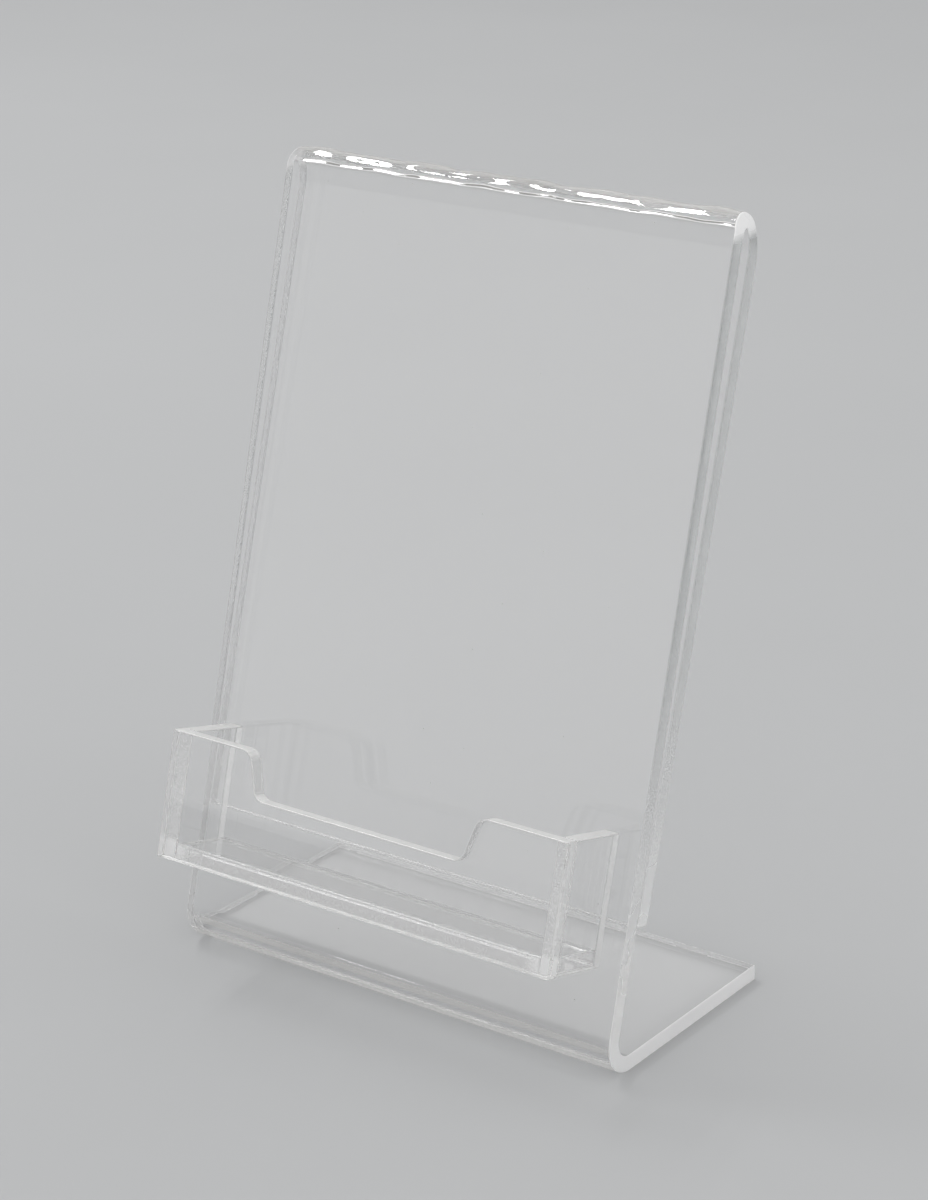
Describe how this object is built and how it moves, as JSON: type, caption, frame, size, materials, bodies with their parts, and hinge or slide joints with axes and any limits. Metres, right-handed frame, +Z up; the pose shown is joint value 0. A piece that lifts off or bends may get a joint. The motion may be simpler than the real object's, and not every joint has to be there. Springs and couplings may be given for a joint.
{
  "type": "brochure holder",
  "caption": "Slanted desk stand bent from a strip of clear acrylic and folded back to hold a printed sheet, with a low pocket for cards or leaflets cemented across its front.",
  "frame": {"origin": "middle of the foot's flat underside, on the surface that the stand rests on", "axes": "+Z up, +X to the right of someone looking at the front, +Y to the back; the pocket and the front panel face -Y, and the panel leans back over the foot"},
  "size_m": [0.1016, 0.0647, 0.1551],
  "materials": {
    "clear_acrylic": "crystal clear cast acrylic, polished faces, edges scraped and flame polished to a bright clear gloss"
  },
  "bodies": {
    "root": {"bent_stand": "clear_acrylic", "pocket_front": "clear_acrylic", "pocket_left_side": "clear_acrylic", "pocket_right_side": "clear_acrylic", "pocket_floor": "clear_acrylic"}
  },
  "joints": []
}
